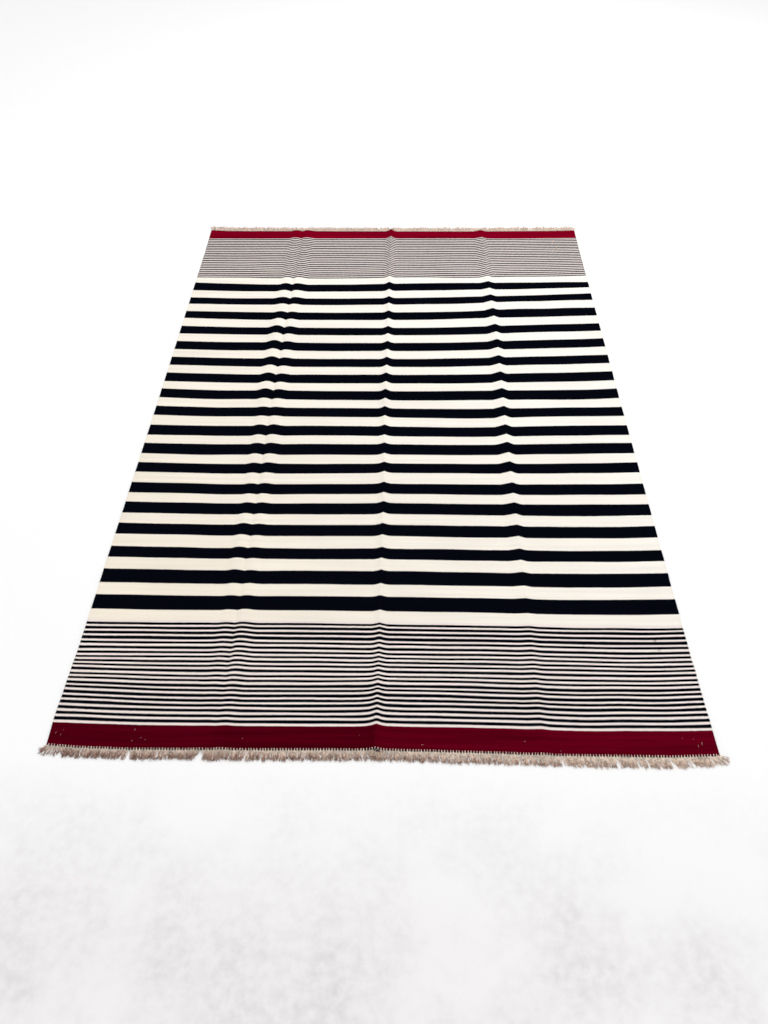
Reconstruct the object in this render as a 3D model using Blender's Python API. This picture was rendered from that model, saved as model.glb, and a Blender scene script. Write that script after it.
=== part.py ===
"""A flat-woven striped kilim rug with a short warp fringe at both ends, laid out flat on a floor.

The rug was stored folded lengthwise in quarters, so three creases still run along it: a low
ridge down the middle, a ridge halfway to the right edge, and on the left a crease that points
down, with a soft shoulder on each side. X runs across the rug, Y runs along it away from the
viewer, Z is up. The floor is at Z = 0, and the origin is on it, at the middle of the rug.
"""

import math
import random
from collections import namedtuple

import bmesh
import bpy

MM = 0.001

# The woven cloth
WIDTH = 1.600
LENGTH = 2.400
THICKNESS = 3.0 * MM

# The fringe: a narrow strip of bare warp beyond the last weft, and the locks that leave it
FIT_GAP = 0.3 * MM
STRIP_WIDTH = 4.7 * MM
STRIP_THICKNESS = 2.4 * MM
LOCKS_PER_END = 150
LOCK_ROOT_WIDTH = 7.4 * MM
LOCK_MIDDLE_WIDTH = 6.6 * MM
LOCK_TIP_WIDTH = 4.6 * MM
LOCK_MIDDLE_THICKNESS = 3.0 * MM
LOCK_TIP_THICKNESS = 1.4 * MM
LOCK_MIDDLE = 0.5
LEAN_JITTER = 2.0
LENGTH_JITTER = 0.09
PARTING_REACH = 30 * MM

# How finely the cloth's grid follows its form
ROWS = 26
PANEL_COLUMNS = 4

# The outline, as the edges' distances from a true rectangle, in millimetres outwards
Side = namedtuple("Side", "y left right")
SIDES = [
    Side(-1.20, 1, 2),
    Side(-1.13, 6, 4),
    Side(-0.90, 1, 1),
    Side(0.00, 0, 0),
    Side(1.05, 3, 3),
    Side(1.20, 6, 5),
]
End = namedtuple("End", "x near far")
Corner = namedtuple("Corner", "x y low")
ENDS = [
    End(-0.80, -6, 12),
    End(-0.73, -1, 5),
    End(-0.60, 2, 4),
    End(-0.42, 0, 4),
    End(-0.30, -1, 4),
    End(-0.10, -4, 3),
    End(0.10, -4, 3),
    End(0.30, -1, 3),
    End(0.42, 2, 4),
    End(0.69, 2, 5),
    End(0.80, -8, 10),
]

# The middle crease, a narrow ridge that stands on a broad swell near the viewer's end.
# All columns but y are in millimetres.
Ridge = namedtuple("Ridge", "y line peak swell")
MIDDLE_RIDGE = [
    Ridge(-1.20, -10, 9.0, 3.0),
    Ridge(-1.13, -9, 13.0, 4.2),
    Ridge(-1.05, -9, 11.3, 3.4),
    Ridge(-0.98, -8, 8.8, 0.3),
    Ridge(-0.70, -8, 8.3, 0.0),
    Ridge(-0.45, -6, 8.8, 1.8),
    Ridge(-0.23, -7, 8.6, 1.2),
    Ridge(-0.11, -9, 8.2, 0.0),
    Ridge(0.07, -10, 11.6, 0.2),
    Ridge(0.50, -6, 9.8, 0.0),
    Ridge(0.80, -6, 9.6, 0.0),
    Ridge(1.20, -4, 11.5, 0.0),
]
MIDDLE_FOOT = 28 * MM
MIDDLE_POWER = 2.0
SWELL_FOOT_LEFT = 60 * MM
SWELL_FOOT_RIGHT = 90 * MM

# The right crease, a ridge with a long flank on the left and a short one on the right
Flanked = namedtuple("Flanked", "y line peak")
RIGHT_RIDGE = [
    Flanked(-1.20, 391, 4.5),
    Flanked(-1.00, 391, 4.6),
    Flanked(-0.80, 392, 3.6),
    Flanked(-0.70, 391, 7.0),
    Flanked(-0.50, 391, 9.8),
    Flanked(-0.36, 392, 9.5),
    Flanked(-0.20, 392, 12.6),
    Flanked(-0.08, 393, 12.4),
    Flanked(0.10, 397, 11.3),
    Flanked(0.42, 402, 10.9),
    Flanked(0.57, 401, 9.6),
    Flanked(0.80, 397, 8.2),
    Flanked(1.20, 392, 6.8),
]
LEFT_FLANK = 34 * MM
LEFT_FLANK_POWER = 1.1
RIGHT_FLANK = 25 * MM
RIGHT_FLANK_POWER = 1.35

# The left crease points down: the cloth touches the floor on its line, between two shoulders
Valley = namedtuple("Valley", "y line left_peak left_foot right_peak right_foot")
LEFT_VALLEY = [
    Valley(-1.20, -403, 1.0, 50, 4.0, 60),
    Valley(-1.08, -398, 1.2, 50, 3.0, 52),
    Valley(-0.95, -397, 3.6, 55, 7.6, 68),
    Valley(-0.80, -397, 3.4, 48, 5.4, 58),
    Valley(-0.66, -398, 6.2, 54, 3.8, 48),
    Valley(-0.52, -397, 8.0, 56, 4.0, 50),
    Valley(-0.37, -399, 4.0, 48, 5.2, 52),
    Valley(-0.20, -401, 6.4, 54, 7.0, 62),
    Valley(-0.06, -403, 6.6, 52, 7.0, 60),
    Valley(0.01, -405, 2.2, 50, 2.4, 55),
    Valley(0.10, -405, 9.6, 64, 6.2, 58),
    Valley(0.30, -403, 10.4, 66, 5.2, 60),
    Valley(0.50, -404, 11.2, 70, 7.0, 62),
    Valley(0.61, -402, 5.0, 56, 3.4, 50),
    Valley(0.70, -401, 7.8, 78, 7.8, 76),
    Valley(0.80, -402, 6.9, 54, 6.9, 68),
    Valley(1.20, -396, 4.8, 60, 5.0, 66),
]
LEFT_SHOULDER_AT = 26 * MM
RIGHT_SHOULDER_AT = 20 * MM

# Where the grid's columns stand beside each crease line, in millimetres
VALLEY_COLUMNS = (-72, -58, -46, -35, -26, -17, -8, 0, 7, 14, 20, 31, 44, 58, 72)
MIDDLE_COLUMNS = (-60, -36, -22, -14, -7, 0, 7, 14, 22, 40, 65, 92)
RIGHT_COLUMNS = (-34, -24, -16, -8, 0, 6, 13, 25)

# The locks' directions, in degrees from straight out, towards +X where positive, and lengths
Locks = namedtuple("Locks", "x lean length")
NEAR_LOCKS = [
    Locks(-0.797, -30, 27),
    Locks(-0.786, -12, 25),
    Locks(-0.774, 14, 27),
    Locks(-0.760, 14, 28),
    Locks(-0.735, -3, 30),
    Locks(-0.700, -13, 30),
    Locks(-0.500, -12, 30),
    Locks(-0.440, -6, 29),
    Locks(-0.350, -2, 29),
    Locks(-0.020, 2, 28),
    Locks(0.020, -1, 28),
    Locks(0.350, 4, 30),
    Locks(0.430, 12, 30),
    Locks(0.650, 16, 31),
    Locks(0.720, 22, 30),
    Locks(0.760, 33, 30),
    Locks(0.785, 46, 33),
    Locks(0.797, 58, 36),
]
FAR_LOCKS = [
    Locks(-0.797, -24, 28),
    Locks(-0.780, -8, 30),
    Locks(-0.600, 1, 30),
    Locks(-0.200, -1, 31),
    Locks(0.200, 2, 31),
    Locks(0.550, 6, 32),
    Locks(0.760, 10, 31),
    Locks(0.797, 22, 29),
]

# Where the near fringe parts and shows the floor, with how far each side turns away, in degrees
Parting = namedtuple("Parting", "x turn")
NEAR_PARTINGS = [
    Parting(-0.597, 6),
    Parting(-0.427, 12),
    Parting(-0.320, 4),
    Parting(-0.180, 5),
    Parting(-0.070, 3),
    Parting(0.429, 6),
    Parting(0.556, 6),
    Parting(0.604, 5),
    Parting(0.685, 5),
]
FAR_PARTINGS = [
    Parting(-0.452, 4),
    Parting(0.262, 5),
    Parting(0.505, 4),
    Parting(0.610, 5),
]


def read_off(rows, column, place):
    """The named column of a table, between its rows, at this place of its first column."""
    if place <= rows[0][0]:
        return getattr(rows[0], column)
    for low, high in zip(rows, rows[1:]):
        if place <= high[0]:
            share = (place - low[0]) / (high[0] - low[0])
            return getattr(low, column) * (1 - share) + getattr(high, column) * share
    return getattr(rows[-1], column)


def flank(distance, foot, power):
    """A ridge's side: 1 on the line, falling to 0 at the foot, steeper the higher the power."""
    return max(0.0, 1 - distance / foot) ** power


def roll(share):
    """A soft rise from 0 to 1."""
    share = min(max(share, 0.0), 1.0)
    return 0.5 - 0.5 * math.cos(math.pi * share)


def middle_lift(x, y):
    across = x - read_off(MIDDLE_RIDGE, "line", y) * MM
    swell_foot = SWELL_FOOT_LEFT if across < 0 else SWELL_FOOT_RIGHT
    sharp = read_off(MIDDLE_RIDGE, "peak", y) * flank(abs(across), MIDDLE_FOOT, MIDDLE_POWER)
    broad = read_off(MIDDLE_RIDGE, "swell", y) * roll(1 - abs(across) / swell_foot)
    return (sharp + broad) * MM


def right_lift(x, y):
    across = x - read_off(RIGHT_RIDGE, "line", y) * MM
    peak = read_off(RIGHT_RIDGE, "peak", y) * MM
    if across < 0:
        return peak * flank(-across, LEFT_FLANK, LEFT_FLANK_POWER)
    return peak * flank(across, RIGHT_FLANK, RIGHT_FLANK_POWER)


def left_lift(x, y):
    """From the crease line the cloth springs up to a shoulder, then rolls down to the floor."""
    across = x - read_off(LEFT_VALLEY, "line", y) * MM
    side, shoulder_at = ("left", LEFT_SHOULDER_AT) if across < 0 else ("right", RIGHT_SHOULDER_AT)
    peak = read_off(LEFT_VALLEY, side + "_peak", y) * MM
    foot = read_off(LEFT_VALLEY, side + "_foot", y) * MM
    distance = abs(across)
    if distance < shoulder_at:
        return peak * math.sin(0.5 * math.pi * distance / shoulder_at)
    return peak * roll((foot - distance) / (foot - shoulder_at))


def lift(x, y):
    """How high the cloth's underside is off the floor."""
    return left_lift(x, y) + middle_lift(x, y) + right_lift(x, y)


def top_of(x, y, thickness):
    """The upper face over a point: a sloping sheet is taller than it is thick."""
    step = 3 * MM
    slope = (lift(x + step, y) - lift(x - step, y)) / (2 * step)
    return lift(x, y) + thickness * math.hypot(1, slope)


def end_line(x, end):
    """The y of the cloth's end edge, for end "near" or "far"."""
    outwards = LENGTH / 2 + read_off(ENDS, end, x) * MM
    return -outwards if end == "near" else outwards


def side_line(y, side):
    outwards = WIDTH / 2 + read_off(SIDES, side, y) * MM
    return -outwards if side == "left" else outwards


def spread(start, end, count):
    """Evenly spaced values after start and before end."""
    return [start + (end - start) * i / count for i in range(1, count)]


def column_places(y):
    """The x of each grid column at this y: close over a crease, wide on the flat panels."""
    creases = [
        (read_off(LEFT_VALLEY, "line", y), VALLEY_COLUMNS),
        (read_off(MIDDLE_RIDGE, "line", y), MIDDLE_COLUMNS),
        (read_off(RIGHT_RIDGE, "line", y), RIGHT_COLUMNS),
    ]
    places = [side_line(y, "left")]
    for line, columns in creases:
        over_crease = [(line + column) * MM for column in columns]
        places += spread(places[-1], over_crease[0], PANEL_COLUMNS) + over_crease
    right_edge = side_line(y, "right")
    places += spread(places[-1], right_edge, PANEL_COLUMNS)
    return places + [right_edge]


def thicken(mesh, thickness_at):
    """Turns a flat grid of faces into a closed sheet that stands on it."""
    made = bmesh.ops.extrude_face_region(mesh, geom=mesh.faces[:])["geom"]
    for vertex in made:
        if isinstance(vertex, bmesh.types.BMVert):
            vertex.co.z = thickness_at(vertex.co.x, vertex.co.y)
    bmesh.ops.recalc_face_normals(mesh, faces=mesh.faces[:])


def cloth_mesh():
    """The cloth, a grid laid over the creases and out to the uneven edges."""
    mesh = bmesh.new()
    columns = len(column_places(0.0)) - 1
    bmesh.ops.create_grid(mesh, x_segments=columns, y_segments=ROWS, size=0.5)
    for vertex in mesh.verts:
        column = round((vertex.co.x + 0.5) * columns)
        share = vertex.co.y + 0.5
        x = column_places(LENGTH * (share - 0.5))[column]
        y = end_line(x, "near") * (1 - share) + end_line(x, "far") * share
        vertex.co = (x, y, lift(x, y))
    thicken(mesh, lambda x, y: top_of(x, y, THICKNESS))
    return mesh


def cloth_edge(end):
    """The corners of the cloth's end edge, one for each grid column, as the strip meets them."""
    y = math.copysign(LENGTH / 2, -1 if end == "near" else 1)
    return [Corner(x, end_line(x, end), lift(x, y)) for x in column_places(y)]


def lock_lean(x, rows, partings):
    """A lock's direction at this place, turned away from any parting close by."""
    lean = read_off(rows, "lean", x)
    for parting in partings:
        away = x - parting.x
        lean += math.copysign(parting.turn, away) * math.exp(-abs(away) / PARTING_REACH)
    return lean


def move_section(face, centre, direction, width, low, high):
    """Puts a lock's end face across its direction, with its underside at low and top at high."""
    across = (abs(direction[1]), -math.copysign(direction[0], direction[0] * direction[1]))
    corners = sorted(face.verts, key=lambda vertex: vertex.co.x)
    for pair, side in ((corners[:2], -0.5 * width), (corners[2:], 0.5 * width)):
        for vertex, z in zip(sorted(pair, key=lambda vertex: vertex.co.z), (low, high)):
            vertex.co = (centre[0] + side * across[0], centre[1] + side * across[1], z)


def fringe_mesh(end, rows, partings, seed):
    """One end's fringe: the bare strip beside the cloth, and a row of locks drawn out of it."""
    outwards = -1 if end == "near" else 1
    edge = cloth_edge(end)
    draw = random.Random(seed)
    mesh = bmesh.new()
    pitch = WIDTH / LOCKS_PER_END
    margin = 0.5 * (pitch - LOCK_ROOT_WIDTH)
    columns = 2 * LOCKS_PER_END + 1
    bmesh.ops.create_grid(mesh, x_segments=columns, y_segments=1, size=0.5)
    for vertex in mesh.verts:
        column = round((vertex.co.x + 0.5) * columns)
        lock, past_root = divmod(column - 1, 2)
        x = -WIDTH / 2 + lock * pitch + (pitch - margin if past_root else margin)
        x = min(max(x, -WIDTH / 2), WIDTH / 2)
        reach = FIT_GAP if vertex.co.y * outwards < 0 else FIT_GAP + STRIP_WIDTH
        vertex.co = (x, read_off(edge, "y", x) + outwards * reach, read_off(edge, "low", x))
    thicken(mesh, lambda x, y: top_of(x, outwards * LENGTH / 2, STRIP_THICKNESS))

    def is_root(face):
        wide = max(edge.calc_length() for edge in face.edges) > 0.8 * LOCK_ROOT_WIDTH
        return wide and face.normal.y * outwards > 0.7 and len(face.verts) == 4

    roots = sorted((f for f in mesh.faces if is_root(f)), key=lambda f: f.calc_center_median().x)
    starts = [face.calc_center_median().xy for face in roots]
    leans = [lock_lean(start.x, rows, partings) + draw.uniform(-1, 1) * LEAN_JITTER
             for start in starts]
    lengths = [read_off(rows, "length", start.x) * MM * (1 + draw.uniform(-1, 1) * LENGTH_JITTER)
               for start in starts]
    sections = [
        (LOCK_MIDDLE, LOCK_MIDDLE_WIDTH, LOCK_MIDDLE_THICKNESS),
        (1.0, LOCK_TIP_WIDTH, LOCK_TIP_THICKNESS),
    ]
    faces = roots
    for along, width, thickness in sections:
        faces = bmesh.ops.extrude_discrete_faces(mesh, faces=faces)["faces"]
        faces.sort(key=lambda face: face.calc_center_median().x)
        for face, start, lean, length in zip(faces, starts, leans, lengths):
            turn = math.radians(lean)
            direction = (math.sin(turn), outwards * math.cos(turn))
            centre = (start.x + direction[0] * length * along,
                      start.y + direction[1] * length * along)
            low = lift(start.x, outwards * LENGTH / 2) * roll(1 - 1.1 * along)
            narrow = width * max(0.45, math.cos(turn))
            move_section(face, centre, direction, narrow, low, low + thickness)
    bmesh.ops.recalc_face_normals(mesh, faces=mesh.faces[:])
    return mesh


def material(name, colour, roughness):
    made = bpy.data.materials.new(name)
    made.use_nodes = True
    shader = made.node_tree.nodes["Principled BSDF"]
    shader.inputs["Base Color"].default_value = (*colour, 1.0)
    shader.inputs["Roughness"].default_value = roughness
    shader.inputs["Metallic"].default_value = 0.0
    return made


def add_piece(name, mesh, collection, finish):
    """Makes the mesh an object of the rug, with its one material."""
    data = bpy.data.meshes.new(name)
    mesh.to_mesh(data)
    mesh.free()
    data.materials.append(finish)
    piece = bpy.data.objects.new(name, data)
    collection.objects.link(piece)
    return piece


def main():
    for obj in list(bpy.data.objects):
        bpy.data.objects.remove(obj)
    rug = bpy.data.collections.new("kilim_rug")
    bpy.context.scene.collection.children.link(rug)
    wool = material("striped wool weave", (0.80, 0.76, 0.68), 0.9)
    warp = material("grey beige warp yarn", (0.42, 0.35, 0.29), 0.95)
    add_piece("rug_cloth", cloth_mesh(), rug, wool)
    add_piece("fringe_near", fringe_mesh("near", NEAR_LOCKS, NEAR_PARTINGS, 3), rug, warp)
    add_piece("fringe_far", fringe_mesh("far", FAR_LOCKS, FAR_PARTINGS, 8), rug, warp)


main()
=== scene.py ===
"""A striped flat-woven kilim rug with a short fringe of warp at both ends, laid on a floor."""

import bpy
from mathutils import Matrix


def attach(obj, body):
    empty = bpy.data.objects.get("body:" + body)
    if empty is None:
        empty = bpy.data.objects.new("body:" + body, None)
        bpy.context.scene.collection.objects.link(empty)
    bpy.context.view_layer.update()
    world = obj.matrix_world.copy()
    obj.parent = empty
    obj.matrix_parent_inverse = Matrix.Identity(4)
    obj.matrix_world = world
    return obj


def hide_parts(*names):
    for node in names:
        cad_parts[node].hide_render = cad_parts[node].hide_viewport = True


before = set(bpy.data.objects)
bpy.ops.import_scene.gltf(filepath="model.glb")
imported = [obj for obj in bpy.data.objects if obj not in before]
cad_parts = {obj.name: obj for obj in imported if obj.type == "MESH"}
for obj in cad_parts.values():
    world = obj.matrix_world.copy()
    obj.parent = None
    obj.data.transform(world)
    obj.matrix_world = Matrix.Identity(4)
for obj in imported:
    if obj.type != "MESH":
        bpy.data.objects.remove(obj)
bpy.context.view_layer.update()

import math
import random
from collections import namedtuple
from functools import partial

import bmesh
import bpy
import numpy as np
from bpy.props import FloatProperty, FloatVectorProperty, IntProperty, PointerProperty
from mathutils import Euler, Vector, noise

bl_info = {
    "name": "Striped kilim rug",
    "version": (1, 0, 0),
    "blender": (4, 5, 0),
    "location": "View3D > Sidebar > Kilim",
    "description": "Weaves a striped flat-woven rug with its creases and its knotted warp fringes",
    "category": "Object",
}

MM = 0.001


def linear(hex_colour):
    """An sRGB hex colour as the linear values that Blender's colours hold."""
    shares = [int(hex_colour[i:i + 2], 16) / 255 for i in (1, 3, 5)]
    return [s / 12.92 if s <= 0.04045 else ((s + 0.055) / 1.055) ** 2.4 for s in shares]


# The form of the cloth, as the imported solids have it

CLOTH_WIDTH = 1.600
CLOTH_LENGTH = 2.400
CLOTH_THICKNESS = 3.0 * MM

# The outline, as the edges' distances from a true rectangle, in millimetres outwards
Side = namedtuple("Side", "y left right")
SIDES = [
    Side(-1.20, 3, 5),
    Side(-1.13, 6, 4),
    Side(-0.90, 1, 1),
    Side(0.00, 0, 0),
    Side(1.05, 3, 3),
    Side(1.20, 6, 5),
]
End = namedtuple("End", "x near far")
ENDS = [
    End(-0.80, -6, 12),
    End(-0.73, -1, 5),
    End(-0.60, 2, 4),
    End(-0.42, 0, 4),
    End(-0.30, -1, 4),
    End(-0.10, -4, 3),
    End(0.10, -4, 3),
    End(0.30, -1, 3),
    End(0.42, 2, 4),
    End(0.69, 2, 8),
    End(0.80, -3, 13),
]

# The middle crease, a narrow ridge that stands on a broad swell near the viewer's end.
# All columns but y are in millimetres.
Ridge = namedtuple("Ridge", "y line peak swell")
MIDDLE_RIDGE = [
    Ridge(-1.20, -10, 9.0, 3.0),
    Ridge(-1.13, -9, 13.0, 4.2),
    Ridge(-1.05, -9, 11.3, 3.4),
    Ridge(-0.98, -8, 8.8, 0.3),
    Ridge(-0.70, -8, 8.3, 0.0),
    Ridge(-0.45, -6, 8.8, 1.8),
    Ridge(-0.23, -7, 8.6, 1.2),
    Ridge(-0.11, -9, 8.2, 0.0),
    Ridge(0.07, -10, 11.6, 0.2),
    Ridge(0.50, -6, 9.8, 0.0),
    Ridge(0.80, -6, 9.6, 0.0),
    Ridge(1.20, -4, 11.5, 0.0),
]
MIDDLE_FOOT = 28 * MM
MIDDLE_POWER = 2.0
SWELL_FOOT_LEFT = 60 * MM
SWELL_FOOT_RIGHT = 90 * MM

# The right crease, a ridge with a long flank on the left and a short one on the right
Flanked = namedtuple("Flanked", "y line peak")
RIGHT_RIDGE = [
    Flanked(-1.20, 391, 4.5),
    Flanked(-1.00, 391, 4.6),
    Flanked(-0.80, 392, 3.6),
    Flanked(-0.70, 391, 7.0),
    Flanked(-0.50, 391, 9.8),
    Flanked(-0.36, 392, 9.5),
    Flanked(-0.20, 392, 12.6),
    Flanked(-0.08, 393, 12.4),
    Flanked(0.10, 397, 11.3),
    Flanked(0.42, 402, 10.9),
    Flanked(0.57, 401, 9.6),
    Flanked(0.80, 397, 8.2),
    Flanked(1.20, 392, 6.8),
]
LEFT_FLANK = 34 * MM
LEFT_FLANK_POWER = 1.1
RIGHT_FLANK = 25 * MM
RIGHT_FLANK_POWER = 1.35

# The left crease points down: the cloth touches the floor on its line, between two shoulders
Valley = namedtuple("Valley", "y line left_peak left_foot right_peak right_foot")
LEFT_VALLEY = [
    Valley(-1.20, -403, 1.0, 50, 4.0, 60),
    Valley(-1.08, -398, 1.2, 50, 3.0, 52),
    Valley(-0.95, -397, 3.6, 55, 7.6, 68),
    Valley(-0.80, -397, 3.4, 48, 5.4, 58),
    Valley(-0.66, -398, 6.2, 54, 3.8, 48),
    Valley(-0.52, -397, 8.0, 56, 4.0, 50),
    Valley(-0.37, -399, 4.0, 48, 5.2, 52),
    Valley(-0.20, -401, 6.4, 54, 7.0, 62),
    Valley(-0.06, -403, 6.6, 52, 7.0, 60),
    Valley(0.01, -405, 2.2, 50, 2.4, 55),
    Valley(0.10, -405, 9.6, 64, 6.2, 58),
    Valley(0.30, -403, 10.4, 66, 5.2, 60),
    Valley(0.50, -404, 11.2, 70, 7.0, 62),
    Valley(0.61, -402, 5.0, 56, 3.4, 50),
    Valley(0.70, -401, 7.8, 78, 7.8, 76),
    Valley(0.80, -402, 6.9, 54, 6.9, 68),
    Valley(1.20, -396, 4.8, 60, 5.0, 66),
]
LEFT_SHOULDER_AT = 26 * MM
RIGHT_SHOULDER_AT = 20 * MM

# Where the grid's columns stand beside each crease line, in millimetres
VALLEY_COLUMNS = (-80, -70, -61, -53, -46, -39, -33, -28, -23, -18, -13, -9, -6, -3, -1, 1, 3, 6,
                  9, 13, 17, 21, 26, 32, 38, 45, 52, 60, 69, 80)
MIDDLE_COLUMNS = (-75, -60, -48, -38, -30, -24, -19, -15, -11, -8, -5.5, -3.5, -1.8, -0.6, 0.6,
                  1.8, 3.5, 5.5, 8, 11, 15, 19, 24, 30, 38, 48, 60, 75, 94)
RIGHT_COLUMNS = (-52, -42, -35, -29, -24, -19, -15, -11, -8, -5.5, -3.5, -1.8, -0.6, 0.6, 1.8,
                 3.5, 5.5, 8, 11, 15, 20, 26, 34, 46)
SELVEDGE_COLUMNS = (1.6, 3.0, 4.4, 6.0, 9.0)
PANEL_COLUMNS = 14

# The weaver's chart, from the far end to the near one, in millimetres along the warp

FAR_RED = 58.5
FAR_IVORY_LINE = 4.0
FAR_PINSTRIPES = 22
FAR_PIN_BLACK = 8.3
FAR_PIN_IVORY = 6.1
FAR_PIN_WANDER = 0.5
FAR_GAP = 44.6
Stripe = namedtuple("Stripe", "black ivory")
WIDE_STRIPES = [
    Stripe(51.2, 48.3),
    Stripe(45.3, 50.7),
    Stripe(49.1, 50.6),
    Stripe(47.3, 46.9),
    Stripe(49.9, 46.0),
    Stripe(47.3, 43.2),
    Stripe(48.1, 41.3),
    Stripe(48.5, 41.5),
    Stripe(45.5, 44.3),
    Stripe(47.2, 40.1),
    Stripe(50.7, 40.8),
    Stripe(43.2, 45.3),
    Stripe(43.3, 37.4),
    Stripe(45.3, 41.0),
    Stripe(43.7, 45.5),
    Stripe(39.8, 41.0),
    Stripe(47.1, 40.2),
    Stripe(47.7, 40.5),
]
NEAR_PINSTRIPES = [
    Stripe(7.5, 5.0),
    Stripe(9.3, 5.9),
    Stripe(9.4, 5.4),
    Stripe(10.2, 5.6),
    Stripe(7.8, 7.1),
    Stripe(8.7, 5.9),
    Stripe(7.6, 6.1),
    Stripe(7.1, 6.0),
    Stripe(7.8, 5.5),
    Stripe(7.3, 6.0),
    Stripe(8.8, 7.0),
    Stripe(7.2, 5.8),
    Stripe(7.3, 6.8),
    Stripe(9.1, 4.6),
    Stripe(7.4, 5.6),
    Stripe(9.1, 5.0),
    Stripe(8.1, 5.1),
    Stripe(8.6, 5.7),
    Stripe(8.1, 6.2),
    Stripe(8.1, 6.0),
    Stripe(8.8, 6.5),
]
FAR_WARP_END = 1.2002

# How far the wefts bow away from straight, in millimetres towards the far end, against their
# place at x = -0.20. The columns are places across the rug in centimetres, l left and r right.
Bow = namedtuple("Bow", "y l80 l60 l50 l20 r10 r30 r50 r60 r70 r80")
BOW_PLACES = (-0.80, -0.60, -0.50, -0.20, 0.10, 0.30, 0.50, 0.60, 0.70, 0.80)
WEFT_BOWS = [
    Bow(-1.136, 2, -2, -2, 0, 3, 2, -2, 0, 1, 4),
    Bow(-1.04, 7, 0, -2, 0, 5, 2, -1, 1, 1, 6),
    Bow(-0.94, -4, -3, -2, 0, -1, 0, -3, -4, -3, 0),
    Bow(-0.84, -2, -3, -2, 0, -1, -2, -5, -5, -5, -2),
    Bow(-0.75, 0, -2, -3, 0, 0, -1, -4, -2, 0, 3),
    Bow(-0.54, 3, 1, -1, 0, 2, 0, 0, 1, 2, 6),
    Bow(-0.45, 1, -2, -3, 0, 3, 2, 1, 2, 4, 8),
    Bow(-0.37, 2, -1, -4, 0, 3, 2, 4, 6, 7, 9),
    Bow(-0.28, 3, -2, -3, 0, 5, 5, 7, 10, 11, 16),
    Bow(-0.19, 2, -4, -3, 0, 2, 3, 9, 11, 15, 17),
    Bow(-0.1, -2, -5, -5, 0, -3, -3, 3, 6, 9, 11),
    Bow(-0.01, 6, -1, 1, 0, -2, -4, 6, 10, 11, 13),
    Bow(0.08, 10, 1, 2, 0, 0, 4, 7, 8, 11, 19),
    Bow(0.17, 8, 1, -1, 0, 1, 4, 12, 15, 19, 25),
    Bow(0.26, 9, 3, 0, 0, 2, 8, 17, 21, 26, 30),
    Bow(0.35, 8, 2, 2, 0, 2, 8, 18, 23, 28, 34),
    Bow(0.45, 9, 3, 2, 0, 2, 8, 21, 27, 30, 36),
    Bow(0.55, 11, 2, -1, 0, 2, 13, 22, 25, 31, 36),
    Bow(0.6, 7, 3, 2, 0, 6, 12, 32, 33, 39, 41),
    Bow(0.7, 5, 0, 0, 0, 7, 15, 22, 28, 34, 42),
    Bow(0.785, 12, 3, 0, 0, 11, 15, 17, 19, 22, 24),
    Bow(0.834, 4, 5, 1, 0, 10, 5, 16, 17, 20, 25),
    Bow(1.151, -2, -2, -1, 0, 1, 2, 0, 2, 4, 6),
]

# How far a weft and a side wander from their lines, in how many waves per metre, and how far in
# from a side its wander is felt
WEFT_WANDER = 1.4 * MM
WEFT_WAVES_ACROSS = 7
WEFT_WAVES_ALONG = 45
SELVEDGE_WANDER = 1.2 * MM
SELVEDGE_WAVES = 22
SELVEDGE_REACH = 40 * MM

# The cords in the sides, and the rounding of the cloth's rim
SELVEDGE_CORD = 3.0 * MM
SELVEDGE_SWELL = 0.5 * MM
EDGE_ROUNDING = 0.9 * MM
RIM_ANGLE = math.radians(60)

# The fringes

# The locks' directions, in degrees from straight out, towards +X where positive, and lengths
Locks = namedtuple("Locks", "x lean length")
NEAR_LOCKS = [
    Locks(-0.800, -52, 26),
    Locks(-0.786, -34, 25),
    Locks(-0.777, 8, 19),
    Locks(-0.768, 40, 24),
    Locks(-0.755, 22, 24),
    Locks(-0.735, -8, 23),
    Locks(-0.500, -13, 22),
    Locks(-0.440, -8, 24),
    Locks(-0.350, -2, 24),
    Locks(-0.045, 6, 23),
    Locks(-0.028, 34, 25),
    Locks(-0.006, 14, 22),
    Locks(0.010, -32, 25),
    Locks(0.030, -4, 24),
    Locks(0.350, 4, 25),
    Locks(0.430, 14, 25),
    Locks(0.650, 17, 26),
    Locks(0.720, 22, 27),
    Locks(0.760, 33, 27),
    Locks(0.785, 50, 29),
    Locks(0.800, 60, 32),
]
FAR_LOCKS = [
    Locks(-0.800, -30, 25),
    Locks(-0.780, -8, 26),
    Locks(-0.600, 1, 26),
    Locks(-0.200, -1, 26),
    Locks(0.200, 2, 26),
    Locks(0.550, 6, 27),
    Locks(0.760, 10, 26),
    Locks(0.800, 22, 25),
]

# Where a fringe parts and shows the floor, with how far each side turns away, in degrees
Parting = namedtuple("Parting", "x turn")
NEAR_PARTINGS = [
    Parting(-0.597, 34),
    Parting(-0.427, 52),
    Parting(-0.320, 12),
    Parting(-0.180, 14),
    Parting(-0.070, 10),
    Parting(0.429, 26),
    Parting(0.511, 14),
    Parting(0.556, 24),
    Parting(0.604, 20),
    Parting(0.628, 12),
    Parting(0.657, 14),
    Parting(0.685, 26),
    Parting(0.727, 16),
    Parting(0.774, 10),
]
FAR_PARTINGS = [
    Parting(-0.452, 18),
    Parting(0.262, 20),
    Parting(0.505, 16),
    Parting(0.610, 20),
]
PARTING_REACH = 11 * MM
STRIP_REACH = 5 * MM

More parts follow.
